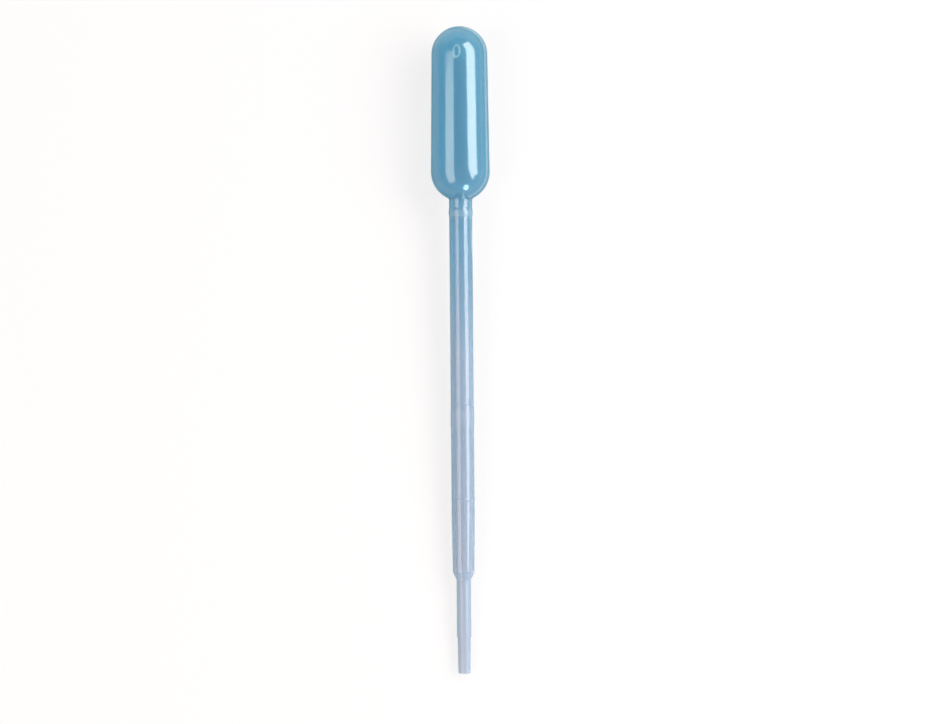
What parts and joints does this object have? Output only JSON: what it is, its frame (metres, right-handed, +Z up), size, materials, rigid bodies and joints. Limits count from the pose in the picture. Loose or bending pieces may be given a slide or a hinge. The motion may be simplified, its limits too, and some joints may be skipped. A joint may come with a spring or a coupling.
{
  "type": "dropper pipette",
  "caption": "One-piece moulded plastic dropper pipette: a closed round-ended squeeze bulb, a straight hollow stem with faint filling lines and a narrow open tip.",
  "frame": {"origin": "on the floor under the middle of the pipette's length, as it lies on its side at rest", "axes": "+Z up, +Y along the pipette towards the closed end of its bulb, and the open tip towards -Y; the pipette's own axis slopes down 2.66 degrees to the tip"},
  "size_m": [0.014, 0.1549, 0.0149],
  "materials": {
    "pipette": "translucent blue low-density polyethylene with a smooth moulded surface"
  },
  "bodies": {
    "root": {"pipette": "pipette"}
  },
  "joints": []
}
